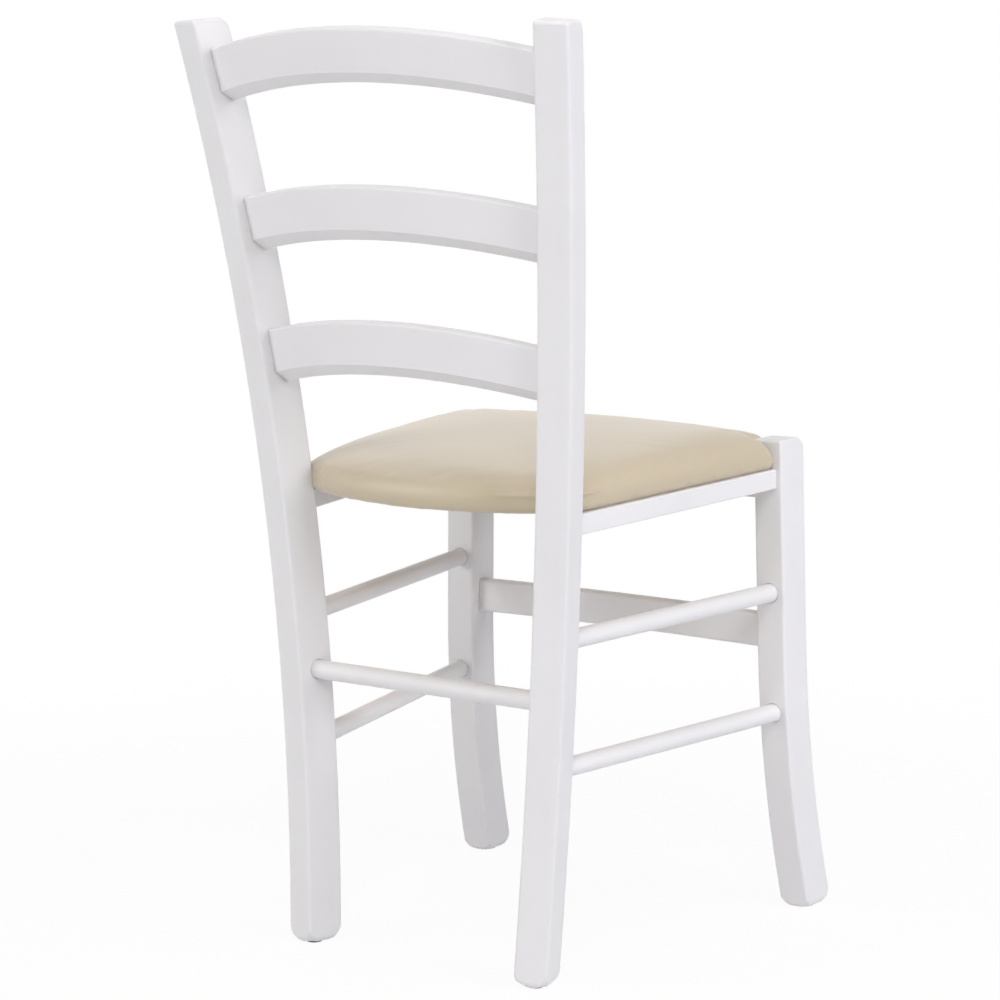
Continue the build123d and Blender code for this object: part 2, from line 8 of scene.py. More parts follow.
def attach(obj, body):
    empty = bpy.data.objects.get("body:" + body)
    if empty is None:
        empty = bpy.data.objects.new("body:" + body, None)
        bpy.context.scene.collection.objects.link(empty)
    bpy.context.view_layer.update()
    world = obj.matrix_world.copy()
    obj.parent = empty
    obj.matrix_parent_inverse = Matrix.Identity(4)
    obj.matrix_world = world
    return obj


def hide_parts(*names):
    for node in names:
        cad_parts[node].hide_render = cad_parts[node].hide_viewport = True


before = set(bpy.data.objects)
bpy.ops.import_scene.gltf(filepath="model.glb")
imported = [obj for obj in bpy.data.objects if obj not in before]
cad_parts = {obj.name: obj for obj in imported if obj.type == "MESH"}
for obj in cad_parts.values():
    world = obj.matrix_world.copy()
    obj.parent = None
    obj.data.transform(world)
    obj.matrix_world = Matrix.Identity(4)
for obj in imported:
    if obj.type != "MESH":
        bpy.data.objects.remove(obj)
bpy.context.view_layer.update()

# Rear posts and front legs: sawn and bent beech, planed, with the long edges eased by hand.
# They are sprayed with white pigmented lacquer before the chair is glued up.
MM = 0.001


def to_linear(hex_colour):
    """Linear colour of an sRGB hex value."""
    channels = [int(hex_colour[i:i + 2], 16) / 255 for i in (1, 3, 5)]
    return [c / 12.92 if c <= 0.04045 else ((c + 0.055) / 1.055) ** 2.4 for c in channels] + [1.0]


def add_node(tree, kind, inputs, **settings):
    """Adds a node with its settings, and links or sets its inputs by name or number."""
    node = tree.nodes.new(kind)
    for name, value in settings.items():
        setattr(node, name, value)
    for name, value in inputs.items():
        if isinstance(value, bpy.types.NodeSocket):
            tree.links.new(value, node.inputs[name])
        else:
            node.inputs[name].default_value = value
    return node


def blank_material(name):
    """A material with only an output, and its node tree."""
    material = bpy.data.materials.new(name)
    material.use_nodes = True
    tree = material.node_tree
    tree.nodes.clear()
    return material, tree, add_node(tree, "ShaderNodeOutputMaterial", {})


# White pigmented lacquer sprayed on beech: a satin film with a faint orange peel, and under it
# the long fibres of the wood just show. The film is a touch thinner and greyer in places.
LACQUER_WHITE = "#ECEBEC"
LACQUER_THIN = "#E6E5E6"
FIBRE_LENGTH = 34.0
FIBRE_WIDTH = 1.6
PEEL_WIDTH = 2.6
CLOUD_WIDTH = 90.0
FIBRE_HEIGHT = 0.12
PEEL_HEIGHT = 0.10
WELD_REACH = 0.004
SHARP_ANGLE = math.radians(35)
ALONG_X, ALONG_Y, ALONG_Z = 0, 1, 2


def white_lacquer(name, grain_axis):
    """White lacquered beech whose fibres run along one axis of the chair."""
    material, tree, output = blank_material(name)
    place = add_node(tree, "ShaderNodeTexCoord", {}).outputs["Object"]
    across = 1 / (FIBRE_WIDTH * MM)
    stretch = [across, across, across]
    stretch[grain_axis] = 1 / (FIBRE_LENGTH * MM)
    along = add_node(tree, "ShaderNodeMapping", {"Vector": place, "Scale": stretch})
    fibres = add_node(tree, "ShaderNodeTexNoise", {
        "Vector": along.outputs["Vector"], "Scale": 1.0, "Detail": 3.0, "Roughness": 0.6,
    })
    peel = add_node(tree, "ShaderNodeTexNoise", {
        "Vector": place, "Scale": 1 / (PEEL_WIDTH * MM), "Detail": 1.0, "Roughness": 0.4,
    })
    cloud = add_node(tree, "ShaderNodeTexNoise", {
        "Vector": place, "Scale": 1 / (CLOUD_WIDTH * MM), "Detail": 2.0, "Roughness": 0.5,
    })
    colour = add_node(tree, "ShaderNodeMix", {
        "Factor": cloud.outputs["Fac"], "A": to_linear(LACQUER_WHITE), "B": to_linear(LACQUER_THIN),
    }, data_type="RGBA")
    gloss = add_node(tree, "ShaderNodeMapRange", {
        "Value": peel.outputs["Fac"], "To Min": 0.44, "To Max": 0.54,
    })
    grain_bump = add_node(tree, "ShaderNodeBump", {
        "Height": fibres.outputs["Fac"], "Strength": 0.12, "Distance": FIBRE_HEIGHT * MM,
    })
    film_bump = add_node(tree, "ShaderNodeBump", {
        "Height": peel.outputs["Fac"], "Strength": 0.10, "Distance": PEEL_HEIGHT * MM,
        "Normal": grain_bump.outputs["Normal"],
    })
    surface = add_node(tree, "ShaderNodeBsdfPrincipled", {
        "Base Color": colour.outputs["Result"], "Roughness": gloss.outputs["Result"],
        "IOR": 1.5, "Normal": film_bump.outputs["Normal"],
    })
    tree.links.new(surface.outputs["BSDF"], output.inputs["Surface"])
    return material


def dress(material, *nodes):
    """Gives CAD nodes a material, and shades their flats flat and their roundings smooth."""
    for node in nodes:
        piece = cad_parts[node]
        piece.data.materials.clear()
        piece.data.materials.append(material)
        weld = piece.modifiers.new("joined_seams", "WELD")
        weld.merge_threshold = WELD_REACH * MM
        crease = piece.modifiers.new("sharp_edges", "EDGE_SPLIT")
        crease.split_angle = SHARP_ANGLE
        crease.use_edge_sharp = False
        even = piece.modifiers.new("even_shading", "WEIGHTED_NORMAL")
        even.mode = "FACE_AREA_WITH_ANGLE"


dress(white_lacquer("white_lacquer_on_upright_beech", ALONG_Z),
      "rear_post_left", "rear_post_right", "front_leg_left", "front_leg_right")

# Back slats: beech cut to a bow and an arch, with the lower edge bevelled towards the back.
# Their tenons are glued into the posts.
crosswise_lacquer = white_lacquer("white_lacquer_on_crosswise_beech", ALONG_X)
dress(crosswise_lacquer, "top_slat", "middle_slat", "lower_slat")

# Seat rails: two side rails with turned tenons and a deeper front rail, all planed beech.
# They carry the seat pad and are glued into the posts and legs.
lengthwise_lacquer = white_lacquer("white_lacquer_on_lengthwise_beech", ALONG_Y)
dress(lengthwise_lacquer, "side_rail_left", "side_rail_right")
dress(crosswise_lacquer, "front_rail")

# Stretchers: five turned beech dowels and one flat bowed stretcher in front.
# They are glued into blind holes and sprayed with the rest of the frame.
dress(lengthwise_lacquer, "side_dowel_upper_left", "side_dowel_upper_right",
      "side_dowel_lower_left", "side_dowel_lower_right")
dress(crosswise_lacquer, "rear_dowel", "front_stretcher")

# Foot glides: thin dark discs pressed from polyethylene, each nailed under a foot.
# The nail's head sits in the disc. The pressed skin is matt, with fine specks and scuffs.
GLIDE_BROWN = "#2E2019"
GLIDE_SPECK = "#3B2C23"
SPECK_WIDTH = 0.8
SCUFF_HEIGHT = 0.1
glide_plastic, tree, output = blank_material("dark_pressed_polyethylene")
place = add_node(tree, "ShaderNodeTexCoord", {}).outputs["Object"]
specks = add_node(tree, "ShaderNodeTexNoise", {
    "Vector": place, "Scale": 1 / (SPECK_WIDTH * MM), "Detail": 2.0,
})
colour = add_node(tree, "ShaderNodeMix", {
    "Factor": specks.outputs["Fac"], "A": to_linear(GLIDE_BROWN), "B": to_linear(GLIDE_SPECK),
}, data_type="RGBA")
scuffs = add_node(tree, "ShaderNodeBump", {
    "Height": specks.outputs["Fac"], "Strength": 0.2, "Distance": SCUFF_HEIGHT * MM,
})
surface = add_node(tree, "ShaderNodeBsdfPrincipled", {
    "Base Color": colour.outputs["Result"], "Roughness": 0.55, "IOR": 1.51,
    "Normal": scuffs.outputs["Normal"],
})
tree.links.new(surface.outputs["BSDF"], output.inputs["Surface"])
dress(glide_plastic, "foot_glide_rear_left", "foot_glide_rear_right",
      "foot_glide_front_left", "foot_glide_front_right")

# Seat board: birch plywood sawn to the pad's outline, seen only from below.
# Its face veneer is peeled from the log, so the grain is wide and wavy.
BIRCH_LIGHT = "#D9BE97"
BIRCH_DARK = "#BE9A6C"
FIGURE_WIDTH = 26.0
FIGURE_LENGTH = 208.0
PORE_WIDTH = 0.9
PORE_LENGTH = 22.5
PORE_DEPTH = 0.2
plywood, tree, output = blank_material("peeled_birch_plywood")
place = add_node(tree, "ShaderNodeTexCoord", {}).outputs["Object"]
figure_place = add_node(tree, "ShaderNodeMapping", {
    "Vector": place,
    "Scale": [1 / (FIGURE_WIDTH * MM), 1 / (FIGURE_LENGTH * MM), 1 / (FIGURE_WIDTH * MM)],
})
figure = add_node(tree, "ShaderNodeTexNoise", {
    "Vector": figure_place.outputs["Vector"], "Scale": 1.0, "Detail": 4.0, "Distortion": 1.2,
})
pore_place = add_node(tree, "ShaderNodeMapping", {
    "Vector": place,
    "Scale": [1 / (PORE_WIDTH * MM), 1 / (PORE_LENGTH * MM), 1 / (PORE_WIDTH * MM)],
})
pores = add_node(tree, "ShaderNodeTexNoise", {"Vector": pore_place.outputs["Vector"], "Scale": 1.0})
colour = add_node(tree, "ShaderNodeMix", {
    "Factor": figure.outputs["Fac"], "A": to_linear(BIRCH_LIGHT), "B": to_linear(BIRCH_DARK),
}, data_type="RGBA")
sawn = add_node(tree, "ShaderNodeBump", {
    "Height": pores.outputs["Fac"], "Strength": 0.35, "Distance": PORE_DEPTH * MM,
})
surface = add_node(tree, "ShaderNodeBsdfPrincipled", {
    "Base Color": colour.outputs["Result"], "Roughness": 0.7, "IOR": 1.5,
    "Normal": sawn.outputs["Normal"],
})
tree.links.new(surface.outputs["BSDF"], output.inputs["Surface"])
dress(plywood, "seat_board")

# Seat pad: foam on the board, with a sheet of faux leather pulled over it and stapled underneath.
# It is notched round the posts and legs. The pull rounds its edge and draws it in below.
SEAT_ORIGIN = Vector((0.0, 129.32, 433.6)) * MM
SEAT_SLOPE = math.radians(2.0)
REAR_HALF_WIDTH = 157.0
REAR_CORNER = -4.0
REAR_BULGE = 49.0
FRONT_HALF_WIDTH = 195.0
FRONT_CORNER = -328.0
FRONT_BULGE = 21.0
CORNER_ROUND = 16.0
NOTCH_ROUND = 4.0
POST_CORNER = Vector((133.3, 5.2))
POST_TURN = math.radians(14.8)
LEG_CORNER = Vector((165.0, -296.0))
EDGE_LEVEL = 11.0
SHOULDER_RISE = 8.3
SHOULDER_WIDTH = 4.0
DRAWN_IN = 3.5
DRAWN_IN_AT_FRAME = 1.5
CROWN_RISE = 20.6
REAR_ROLL = 109.0
SIDE_ROLL = 51.0
FRONT_ROLL = 130.0
TUCK_DROP = 1.0
LEG_TUCK_DROP = 0.5
TUCK_WIDTH = 52.0
LEG_PULL_WIDTH = 48.0
LEG_PULL_SHARE = 0.6
LEG_SHOULDER = 8.0
PAD_MIDDLE = Vector((0.0, -150.0))
NEAREST_EDGE = 50.0
FARTHEST_EDGE = 320.0
EDGE_TOLERANCE = 0.01

seat_to_world = Matrix.Translation(SEAT_ORIGIN) @ Matrix.Rotation(-SEAT_SLOPE, 4, "X")
rear_radius = (REAR_HALF_WIDTH ** 2 + REAR_BULGE ** 2) / (2 * REAR_BULGE)
rear_centre = Vector((0.0, REAR_CORNER + REAR_BULGE - rear_radius))
front_radius = (FRONT_HALF_WIDTH ** 2 + FRONT_BULGE ** 2) / (2 * FRONT_BULGE)
front_centre = Vector((0.0, FRONT_CORNER - FRONT_BULGE + front_radius))
rear_corner = Vector((REAR_HALF_WIDTH, REAR_CORNER))
front_corner = Vector((FRONT_HALF_WIDTH, FRONT_CORNER))
side_along = (front_corner - rear_corner).normalized()
side_inward = Vector((side_along.y, -side_along.x))
post_outward = Vector((math.cos(POST_TURN), -math.sin(POST_TURN)))
post_backward = Vector((math.sin(POST_TURN), math.cos(POST_TURN)))


def soft_least(a, b, width):
    """The smaller of two distances, rounded over where they are close."""
    share = max(width - abs(a - b), 0.0) / width
    return min(a, b) - share * share * width / 4


def outside_corner(a, b):
    """Distance from a square corner that takes up the place where a and b are both negative."""
    return math.hypot(max(a, 0.0), max(b, 0.0)) + min(max(a, b), 0.0)


def room_to_leg(x, y):
    """Distance in the seat plane from the nearest front leg."""
    return outside_corner(LEG_CORNER.x - abs(x), y - LEG_CORNER.y)


def room_to_post(x, y):
    """Distance in the seat plane from the nearest rear post."""
    from_post = Vector((abs(x), y)) - POST_CORNER
    return outside_corner(-from_post.dot(post_outward), -from_post.dot(post_backward))


def room_to_frame(x, y):
    """Distance in the seat plane from the nearest post or leg."""
    return min(room_to_post(x, y), room_to_leg(x, y))


def edge_depths(x, y):
    """Distances in the seat plane from the pad's rear, side and front edges, positive inside."""
    spot = Vector((abs(x), y))
    rear = rear_radius - (spot - rear_centre).length
    side = (spot - rear_corner).dot(side_inward)
    front = front_radius - (spot - front_centre).length
    return rear, side, front


def depth_from_edge(x, y):
    """Distance in the seat plane from the nearest outer edge of the pad, positive inside."""
    rear, side, front = edge_depths(x, y)
    return soft_least(soft_least(rear, side, CORNER_ROUND), front, CORNER_ROUND)


def depth_in_pad(x, y):
    """Distance in the seat plane from the nearest edge or notch of the pad, positive inside."""
    return soft_least(depth_from_edge(x, y), room_to_frame(x, y), NOTCH_ROUND)


def outline(angle, depth):
    """The place at an angle from the pad's middle where a depth falls to nothing."""
    direction = Vector((math.cos(angle), math.sin(angle)))
    near, far = NEAREST_EDGE, FARTHEST_EDGE
    while far - near > EDGE_TOLERANCE:
        half = (near + far) / 2
        spot = PAD_MIDDLE + direction * half
        if depth(spot.x, spot.y) > 0:
            near = half
        else:
            far = half
    return PAD_MIDDLE + direction * near


def share_left(distance, width):
    """1 at an edge, falling to 0 a width in from it."""
    return 1 - min(max(distance, 0.0) / width, 1.0)


def edge_level(x, y):
    """Height at which the pad's edge stands out most, low down where it is pulled in at a leg."""
    return EDGE_LEVEL * (1 - LEG_PULL_SHARE * share_left(room_to_leg(x, y), LEG_PULL_WIDTH))


def upper_level(x, y):
    """Height of the pad's upper side: a tight shoulder, a roll up to the crown, a tuck at the frame."""
    pull = share_left(room_to_leg(x, y), LEG_PULL_WIDTH)
    shoulder = share_left(depth_in_pad(x, y), SHOULDER_WIDTH + LEG_SHOULDER * pull)
    edge = edge_level(x, y)
    level = edge + (EDGE_LEVEL + SHOULDER_RISE - edge) * math.sqrt(1 - shoulder ** 2)
    crown = CROWN_RISE
    for depth, roll in zip(edge_depths(x, y), (REAR_ROLL, SIDE_ROLL, FRONT_ROLL)):
        crown *= math.sqrt(1 - share_left(depth, roll) ** 2)
    tuck = TUCK_DROP * share_left(room_to_post(x, y), TUCK_WIDTH) ** 2
    tuck += LEG_TUCK_DROP * share_left(room_to_leg(x, y), TUCK_WIDTH) ** 2
    return level + crown - tuck


def lower_level(x, y):
    """Height of the pad's lower side, where the pull draws the edge in, but hardly at a post or leg."""
    at_edge = share_left(depth_from_edge(x, y), DRAWN_IN)
    at_frame = share_left(room_to_frame(x, y), DRAWN_IN_AT_FRAME)
    turn = max(at_edge, at_frame)
    return edge_level(x, y) * (1 - math.sqrt(1 - turn ** 2))


PAD_SPOKES = 360
PAD_RINGS = 60
RING_CROWDING = 1.6


def pad_blank():
    """The pad's plain form: rings from the middle of its top, over the edge, to below its middle."""
    shares = [1 - (1 - step / PAD_RINGS) ** RING_CROWDING for step in range(1, PAD_RINGS + 1)]
    edge = [outline(2 * math.pi * spoke / PAD_SPOKES, depth_in_pad) for spoke in range(PAD_SPOKES)]
    form = bmesh.new()
    rings = []
    for level, steps in ((upper_level, shares), (lower_level, reversed(shares[:-1]))):
        for share in steps:
            ring = []
            for spot in edge:
                place = PAD_MIDDLE.lerp(spot, share)
                ring.append(form.verts.new((place.x, place.y, level(place.x, place.y))))
            rings.append(ring)
    top = form.verts.new((PAD_MIDDLE.x, PAD_MIDDLE.y, upper_level(*PAD_MIDDLE)))
    bottom = form.verts.new((PAD_MIDDLE.x, PAD_MIDDLE.y, 0.0))
    for spoke in range(PAD_SPOKES):
        after = (spoke + 1) % PAD_SPOKES
        form.faces.new((top, rings[0][spoke], rings[0][after]))
        form.faces.new((bottom, rings[-1][after], rings[-1][spoke]))
        for inner, outer in zip(rings, rings[1:]):
            form.faces.new((inner[spoke], outer[spoke], outer[after], inner[after]))
    bmesh.ops.scale(form, vec=(MM, MM, MM), verts=form.verts)
    mesh = bpy.data.meshes.new("seat_cushion")
    form.to_mesh(mesh)
    form.free()
    return mesh


def applied(piece):
    """Takes a piece's modifiers into its mesh."""
    whole = piece.evaluated_get(bpy.context.evaluated_depsgraph_get())
    mesh = bpy.data.meshes.new_from_object(whole)
    piece.modifiers.clear()
    piece.data = mesh


PAD_VOXEL = 4.5
PAD_PRESSURE = 0.5
PAD_FRAMES = 20
SWELL_LIMIT = 5.0
HELD_HEIGHT = 2.0
FRAME_GRIP = 15.0

cushion = bpy.data.objects.new("seat_cushion", pad_blank())
bpy.context.scene.collection.objects.link(cushion)
remesh = cushion.modifiers.new("even_mesh", "REMESH")
remesh.mode = "VOXEL"
remesh.voxel_size = PAD_VOXEL * MM
applied(cushion)
before = [vertex.co.copy() for vertex in cushion.data.vertices]
held = cushion.vertex_groups.new(name="held")
for vertex in cushion.data.vertices:
    low_down = vertex.co.z / MM < HELD_HEIGHT
    held.add([vertex.index], 1.0 if low_down else 0.0, "REPLACE")
cloth = cushion.modifiers.new("stretched_cover", "CLOTH")
cloth.settings.use_pressure = True
cloth.settings.uniform_pressure_force = PAD_PRESSURE
cloth.settings.effector_weights.gravity = 0.0
cloth.settings.vertex_group_mass = "held"
cloth.point_cache.frame_start = 1
cloth.point_cache.frame_end = PAD_FRAMES
for step in range(1, PAD_FRAMES + 1):
    bpy.context.scene.frame_set(step)
applied(cushion)
bpy.context.scene.frame_set(1)
for vertex, start in zip(cushion.data.vertices, before):
    move = vertex.co - start
    if move.length > SWELL_LIMIT * MM:
        move *= SWELL_LIMIT * MM / move.length
    gripped = share_left(room_to_frame(start.x / MM, start.y / MM), FRAME_GRIP)
    vertex.co = start + move * (1 - gripped)
finer = cushion.modifiers.new("finer", "SUBSURF")
finer.levels = 1
finer.render_levels = 1
applied(cushion)

# Behind the right post the cover was gathered into one soft fold before it was stapled.
# Next to it the lower edge is a little slack and lifts off the rail in short waves.
FOLD_LEVEL = 17.0
FOLD_PROUD_BEHIND = 1.2
FOLD_PROUD_BESIDE = 4.0
FOLD_HALF_WIDTH = 1.8
HOLLOW_LEVEL = 12.0
HOLLOW_DEPTH = 0.5
HOLLOW_HALF_WIDTH = 3.5
GATHER_START = 32.0
GATHER_REACH = 24.0
FOLD_FOOT = 4.0
FOLD_HEAD = 26.0
WAVE_LENGTH = 13.0
WAVE_RISE = 0.8
WAVE_HEIGHT = 14.0


def distance_from_right_post(place):
    """Distance in the seat plane from the inner corner of the right post."""
    return math.hypot(place.x + POST_CORNER.x, place.y - POST_CORNER.y)


def beside_right_post(place):
    """Whether the gather reaches a place on the pad's edge."""
    near = distance_from_right_post(place) < GATHER_START + GATHER_REACH
    return near and FOLD_FOOT < place.z < FOLD_HEAD


def gathered(place, normal):
    """How far the fold, the hollow under it and the waves move a place on the cover, in millimetres."""
    from_post = distance_from_right_post(place)
    fade = share_left(from_post - GATHER_START, GATHER_REACH)
    beside = place.y < POST_CORNER.y
    proud = FOLD_PROUD_BESIDE if beside else FOLD_PROUD_BEHIND
    ridge = proud * math.exp(-((place.z - FOLD_LEVEL) / FOLD_HALF_WIDTH) ** 2)
    hollow = HOLLOW_DEPTH * math.exp(-((place.z - HOLLOW_LEVEL) / HOLLOW_HALF_WIDTH) ** 2)
    ripple = math.sin(math.pi * from_post / WAVE_LENGTH) ** 2
    wave = WAVE_RISE * fade * share_left(place.z, WAVE_HEIGHT) * ripple * beside
    return normal * (ridge - hollow) * fade + Vector((0.0, 0.0, wave))


finer_edge = bmesh.new()
finer_edge.from_mesh(cushion.data)
gathered_edges = []
for edge in finer_edge.edges:
    if all(beside_right_post(vertex.co / MM) for vertex in edge.verts):
        gathered_edges.append(edge)
bmesh.ops.subdivide_edges(finer_edge, edges=gathered_edges, cuts=1, smooth=1.0, use_grid_fill=True)
finer_edge.to_mesh(cushion.data)
finer_edge.free()
moves = [gathered(vertex.co / MM, vertex.normal) * MM for vertex in cushion.data.vertices]
for vertex, move in zip(cushion.data.vertices, moves):
    vertex.co += move

# Underneath, the faux leather is turned in over the board's rim and stapled there.
# It ends in a hand-cut edge that wanders a little, and the bare board shows inside it.
HEM_WIDTH = 34.0
FRONT_HEM_WIDTH = 58.0
HEM_CORNER = 40.0
HEM_DEPTH = 2.4
HEM_WANDER = 0.8
WANDER_ACROSS = 17.0
WANDER_SWAY = 23.0
WANDER_ALONG = 19.0
HEM_SPOKES = 240
HEM_FOOT = 0.2
HEM_MARGIN = 0.1
HEM_WALL = 0.3


def depth_past_hem(x, y):
    """Distance in the seat plane from the cut edge of the turned-in cover, positive on the bare board."""
    rear, side, front = edge_depths(x, y)
    across = soft_least(rear - HEM_WIDTH, side - HEM_WIDTH, HEM_CORNER)
    sway = math.sin(x / WANDER_ACROSS + math.sin(y / WANDER_SWAY))
    wander = HEM_WANDER * sway * math.cos(y / WANDER_ALONG)
    return soft_least(across, front - FRONT_HEM_WIDTH, HEM_CORNER) + wander


cut = bmesh.new()
cut_edge = [outline(2 * math.pi * spoke / HEM_SPOKES, depth_past_hem) for spoke in range(HEM_SPOKES)]
lower = [cut.verts.new((spot.x * MM, spot.y * MM, -HEM_DEPTH * MM)) for spot in cut_edge]
upper = [cut.verts.new((spot.x * MM, spot.y * MM, HEM_DEPTH * MM)) for spot in cut_edge]
cut.faces.new(reversed(lower))
cut.faces.new(upper)
for spoke in range(HEM_SPOKES):
    after = (spoke + 1) % HEM_SPOKES
    cut.faces.new((lower[spoke], lower[after], upper[after], upper[spoke]))
cut_mesh = bpy.data.meshes.new("hem_cut")
cut.to_mesh(cut_mesh)
cut.free()
hem_cut = bpy.data.objects.new("hem_cut", cut_mesh)
bpy.context.scene.collection.objects.link(hem_cut)
opening = cushion.modifiers.new("open_underside", "BOOLEAN")
opening.operation = "DIFFERENCE"
opening.object = hem_cut
applied(cushion)
bpy.data.objects.remove(hem_cut)
for polygon in cushion.data.polygons:
    middle = polygon.center / MM
    at_pocket_height = HEM_FOOT < middle.z < HEM_DEPTH + HEM_MARGIN
    in_pocket = at_pocket_height and depth_past_hem(middle.x, middle.y) > -HEM_WALL
    polygon.use_smooth = not in_pocket

# Faux leather: polyurethane embossed with a fine pebble grain on a knitted back, with a satin skin.
# The grain is drawn a little coarser than the real one, or the render wouldn't show it.
LEATHER_CREAM = "#C5B79D"
LEATHER_WORN = "#BDAF95"
PEBBLE_WIDTH = 1.4
CREASE_WIDTH = 7.0
LEATHER_CLOUD = 120.0
PEBBLE_HEIGHT = 0.12
CREASE_HEIGHT = 0.3
SKIN_SHEEN = "#F6F2F0"
faux_leather, tree, output = blank_material("cream_embossed_faux_leather")
place = add_node(tree, "ShaderNodeTexCoord", {}).outputs["Object"]
pebbles = add_node(tree, "ShaderNodeTexVoronoi", {
    "Vector": place, "Scale": 1 / (PEBBLE_WIDTH * MM), "Smoothness": 0.7,
}, feature="SMOOTH_F1")
creases = add_node(tree, "ShaderNodeTexNoise", {
    "Vector": place, "Scale": 1 / (CREASE_WIDTH * MM), "Detail": 4.0, "Roughness": 0.6,
})
cloud = add_node(tree, "ShaderNodeTexNoise", {
    "Vector": place, "Scale": 1 / (LEATHER_CLOUD * MM), "Detail": 2.0,
})
colour = add_node(tree, "ShaderNodeMix", {
    "Factor": cloud.outputs["Fac"], "A": to_linear(LEATHER_CREAM), "B": to_linear(LEATHER_WORN),
}, data_type="RGBA")
gloss = add_node(tree, "ShaderNodeMapRange", {
    "Value": creases.outputs["Fac"], "To Min": 0.48, "To Max": 0.60,
})
pebble_bump = add_node(tree, "ShaderNodeBump", {
    "Height": pebbles.outputs["Distance"], "Strength": 0.25, "Distance": PEBBLE_HEIGHT * MM,
}, invert=True)
crease_bump = add_node(tree, "ShaderNodeBump", {
    "Height": creases.outputs["Fac"], "Strength": 0.08, "Distance": CREASE_HEIGHT * MM,
    "Normal": pebble_bump.outputs["Normal"],
})
surface = add_node(tree, "ShaderNodeBsdfPrincipled", {
    "Base Color": colour.outputs["Result"], "Roughness": gloss.outputs["Result"],
    "IOR": 1.5, "Specular IOR Level": 0.3, "Normal": crease_bump.outputs["Normal"],
    "Coat Weight": 1.0, "Coat Roughness": 0.42, "Coat IOR": 1.5,
    "Sheen Weight": 0.3, "Sheen Roughness": 0.45, "Sheen Tint": to_linear(SKIN_SHEEN),
})
tree.links.new(surface.outputs["BSDF"], output.inputs["Surface"])
cushion.data.materials.clear()
cushion.data.materials.append(faux_leather)
cushion.matrix_world = seat_to_world
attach(cushion, "root")
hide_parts("seat_cover", "seat_foam")

# Staples, screws and glide nails: drawn steel wire and cut screws with a thin zinc coat.
# Staples hold the cover to the board, screws hold the pad to the rails.
# The zinc gives a soft grey shine with fine duller streaks.
STEEL_BRIGHT = "#C9C9CC"
STEEL_DULL = "#A9A9AD"
DRAW_LINE = 0.5
zinc_steel, tree, output = blank_material("zinc_coated_drawn_steel")
place = add_node(tree, "ShaderNodeTexCoord", {}).outputs["Object"]
streaks = add_node(tree, "ShaderNodeTexNoise", {
    "Vector": place, "Scale": 1 / (DRAW_LINE * MM), "Detail": 3.0,
})
colour = add_node(tree, "ShaderNodeMix", {
    "Factor": streaks.outputs["Fac"], "A": to_linear(STEEL_BRIGHT), "B": to_linear(STEEL_DULL),
}, data_type="RGBA")
surface = add_node(tree, "ShaderNodeBsdfPrincipled", {
    "Base Color": colour.outputs["Result"], "Metallic": 1.0, "Roughness": 0.35,
})
tree.links.new(surface.outputs["BSDF"], output.inputs["Surface"])
dress(zinc_steel, "cover_staples", "seat_screws", "glide_nails")

# Studio: a pale floor and a white backdrop under five large soft boxes, two of them high up.
# The camera sees both as white, and round the feet the chair's soft shadow stays on the floor.
FLOOR_PALE = "#FFFFFF"
FLOOR_BOUNCE = "#F2F3F6"
FLOOR_SIZE = 12.0
SHADOW_REACH = 0.45
SHADOW_END = 1.5
SHADOW_SHARE = 0.06
floor_mesh = bpy.data.meshes.new("floor")
half = FLOOR_SIZE / 2
corners = [(-half, -half, 0.0), (half, -half, 0.0), (half, half, 0.0), (-half, half, 0.0)]
floor_mesh.from_pydata(corners, [], [(0, 1, 2, 3)])
floor = bpy.data.objects.new("floor", floor_mesh)
bpy.context.scene.collection.objects.link(floor)


def seen_directly(tree):
    """1 for rays from the camera, off a mirror or through glass, else 0."""
    rays = add_node(tree, "ShaderNodeLightPath", {})
    camera_or_gloss = add_node(tree, "ShaderNodeMath", {
        0: rays.outputs["Is Camera Ray"], 1: rays.outputs["Is Glossy Ray"],
    }, operation="MAXIMUM")
    any_sight = add_node(tree, "ShaderNodeMath", {
        0: camera_or_gloss.outputs["Value"], 1: rays.outputs["Is Transmission Ray"],
    }, operation="MAXIMUM")
    return any_sight.outputs["Value"]


floor_paint, tree, output = blank_material("pale_matt_studio_floor")
seen = seen_directly(tree)
place = add_node(tree, "ShaderNodeTexCoord", {}).outputs["Object"]
away = add_node(tree, "ShaderNodeVectorMath", {0: place}, operation="LENGTH")
white_share = add_node(tree, "ShaderNodeMapRange", {
    "Value": away.outputs["Value"], "From Min": SHADOW_REACH, "From Max": SHADOW_END,
    "To Min": 1 - SHADOW_SHARE, "To Max": 1.0,
}, interpolation_type="SMOOTHSTEP")
share = add_node(tree, "ShaderNodeMath", {0: seen, 1: white_share.outputs["Result"]}, operation="MULTIPLY")
colour = add_node(tree, "ShaderNodeMix", {
    "Factor": seen, "A": to_linear(FLOOR_BOUNCE), "B": to_linear(FLOOR_PALE),
}, data_type="RGBA")
matt = add_node(tree, "ShaderNodeBsdfDiffuse", {"Color": colour.outputs["Result"]})
glow = add_node(tree, "ShaderNodeEmission", {"Color": (1.0, 1.0, 1.0, 1.0), "Strength": 1.0})
both = add_node(tree, "ShaderNodeMixShader", {
    0: share.outputs["Value"], 1: matt.outputs["BSDF"], 2: glow.outputs["Emission"],
})
tree.links.new(both.outputs["Shader"], output.inputs["Surface"])
floor_mesh.materials.append(floor_paint)

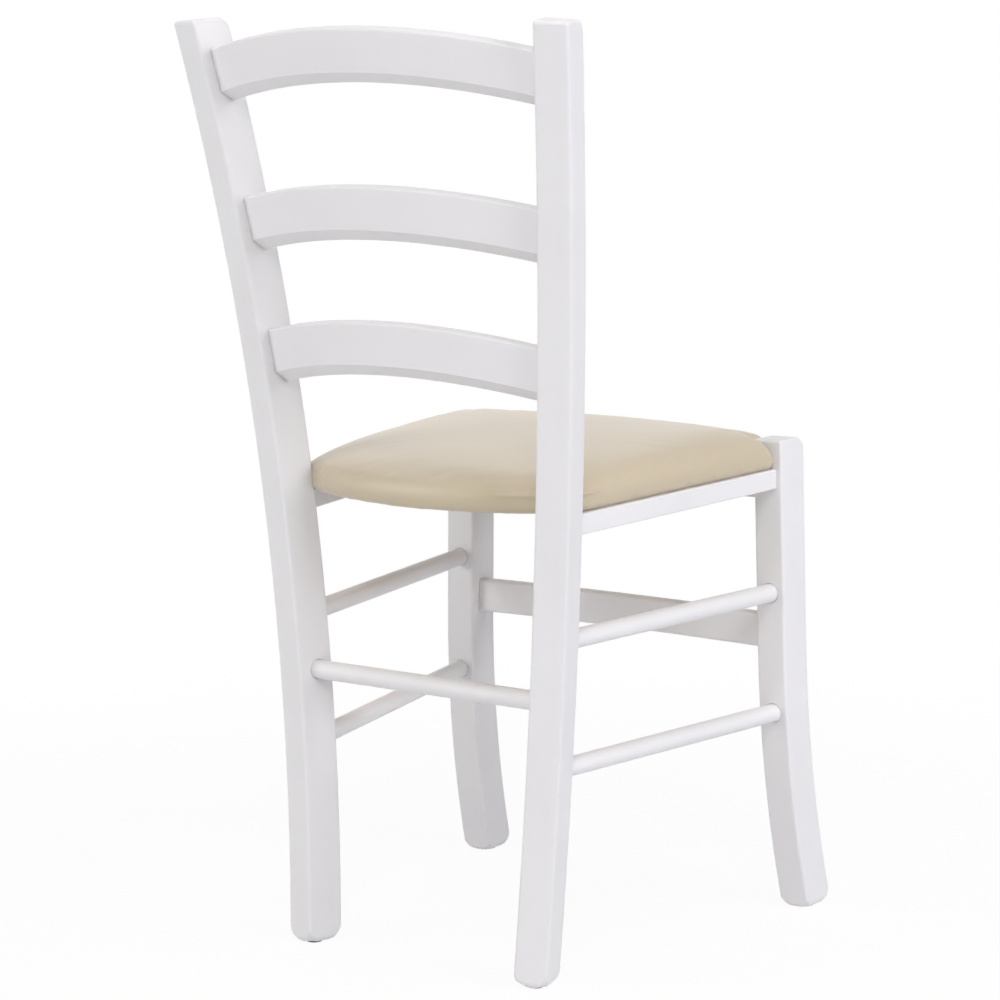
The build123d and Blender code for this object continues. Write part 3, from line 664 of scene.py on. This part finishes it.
WORLD_STRENGTH = 0.02
world = bpy.data.worlds.new("studio")
world.use_nodes = True
bpy.context.scene.world = world
tree = world.node_tree
tree.nodes.clear()
strength = add_node(tree, "ShaderNodeMapRange", {
    "Value": seen_directly(tree), "To Min": WORLD_STRENGTH, "To Max": 1.0,
})
sky = add_node(tree, "ShaderNodeBackground", {
    "Color": (1.0, 1.0, 1.0, 1.0), "Strength": strength.outputs["Result"],
})
add_node(tree, "ShaderNodeOutputWorld", {"Surface": sky.outputs["Background"]})

CHAIR_MIDDLE = Vector((0.0, 0.0, 0.45))
soft_boxes = {
    "overhead_box": (Vector((0.0, 0.3, 4.5)), 4.0, 71.0, "#FFFDFB"),
    "upper_box": (Vector((-2.4, 3.6, 3.9)), 2.2, 91.0, "#FFFDFB"),
    "right_box": (Vector((-4.4, 0.1, 2.2)), 2.6, 124.0, "#FAFAFF"),
    "left_box": (Vector((3.2, 4.4, 1.7)), 3.0, 114.0, "#FFFEFE"),
    "front_box": (Vector((2.9, -3.0, 2.6)), 3.0, 10.0, "#FFF8F3"),
}
for name, (spot, width, power, tint) in soft_boxes.items():
    lamp = bpy.data.lights.new(name, "AREA")
    lamp.shape = "SQUARE"
    lamp.size = width
    lamp.energy = power
    lamp.color = to_linear(tint)[:3]
    light = bpy.data.objects.new(name, lamp)
    light.location = spot
    light.rotation_mode = "QUATERNION"
    light.rotation_quaternion = (CHAIR_MIDDLE - spot).to_track_quat("-Z", "Y")
    bpy.context.scene.collection.objects.link(light)

# Camera: behind the chair on the sitter's right, a little above the seat, with a long lens.
# The shift only centres the chair as the photograph does.
CAMERA_PLACE = Vector((-1.72396, 2.47403, 0.87187))
CAMERA_YAW = math.radians(34.935)
CAMERA_PITCH = math.radians(8.603)
CAMERA_LENS = 115.45
SENSOR_WIDTH = 36.0
CAMERA_SHIFT = (-0.0093, 0.00272)
lens = bpy.data.cameras.new("camera")
lens.sensor_width = SENSOR_WIDTH
lens.lens = CAMERA_LENS
lens.shift_x, lens.shift_y = CAMERA_SHIFT
camera = bpy.data.objects.new("camera", lens)
camera.location = CAMERA_PLACE
looking = Vector((
    math.sin(CAMERA_YAW) * math.cos(CAMERA_PITCH),
    -math.cos(CAMERA_YAW) * math.cos(CAMERA_PITCH),
    -math.sin(CAMERA_PITCH),
))
camera.rotation_mode = "QUATERNION"
camera.rotation_quaternion = looking.to_track_quat("-Z", "Y")
bpy.context.scene.collection.objects.link(camera)
bpy.context.scene.camera = camera
bpy.context.scene.view_settings.view_transform = "Standard"
